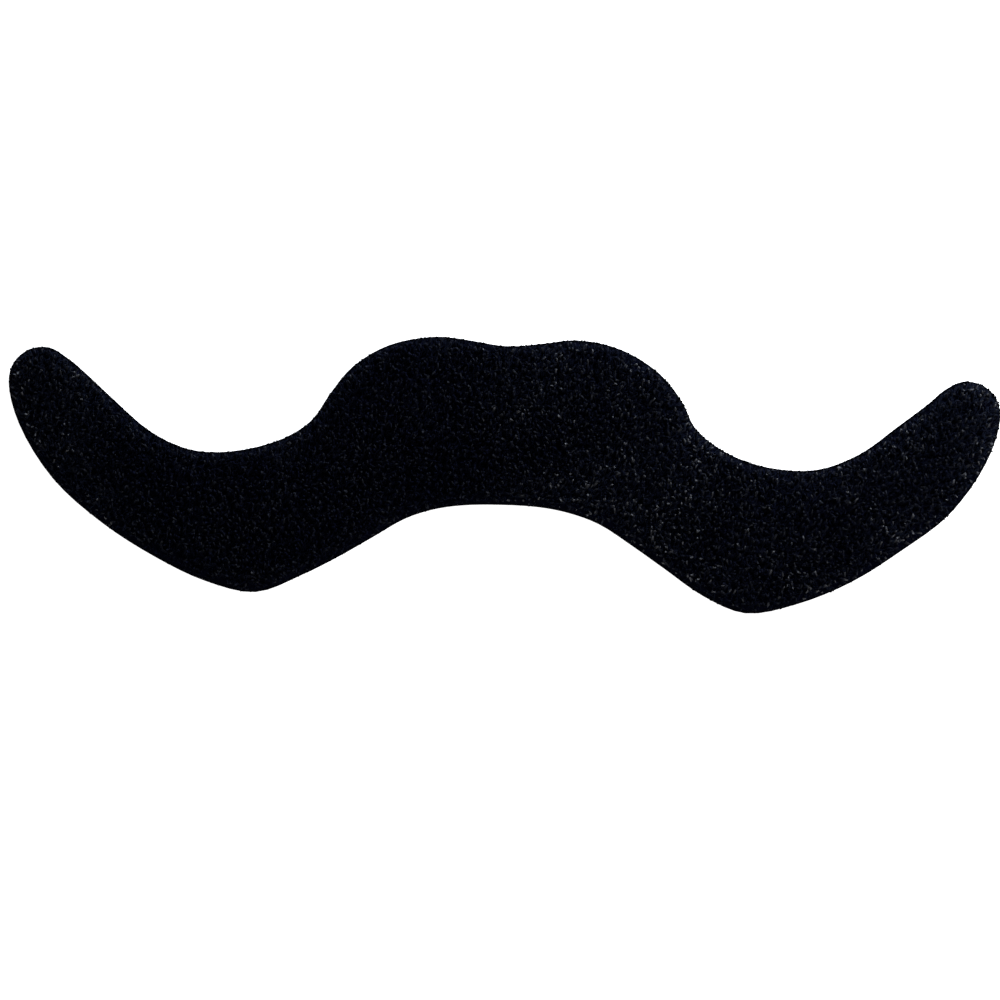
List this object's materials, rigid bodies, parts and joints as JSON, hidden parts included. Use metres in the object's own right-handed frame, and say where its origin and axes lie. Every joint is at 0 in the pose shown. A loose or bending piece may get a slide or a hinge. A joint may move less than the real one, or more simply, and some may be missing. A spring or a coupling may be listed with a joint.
{
  "type": "fake moustache",
  "caption": "Wavy stick-on moustache of short black pile cloth, with round upturned ends, on a plain self-adhesive sheet.",
  "frame": {"origin": "middle of the moustache's outline, on the free face of its adhesive sheet", "axes": "+X to the viewer's right along the moustache, +Y up the wearer's face, +Z out of the pile"},
  "size_m": [0.12, 0.0322, 0.0037],
  "materials": {
    "pile_cloth": "short dense plush pile, near-black with a faint blue sheen at the rims",
    "adhesive_sheet": "plain off-white self-adhesive film, slightly glossy"
  },
  "bodies": {
    "root": {"pile_cloth": "pile_cloth", "adhesive_sheet": "adhesive_sheet"}
  },
  "joints": []
}
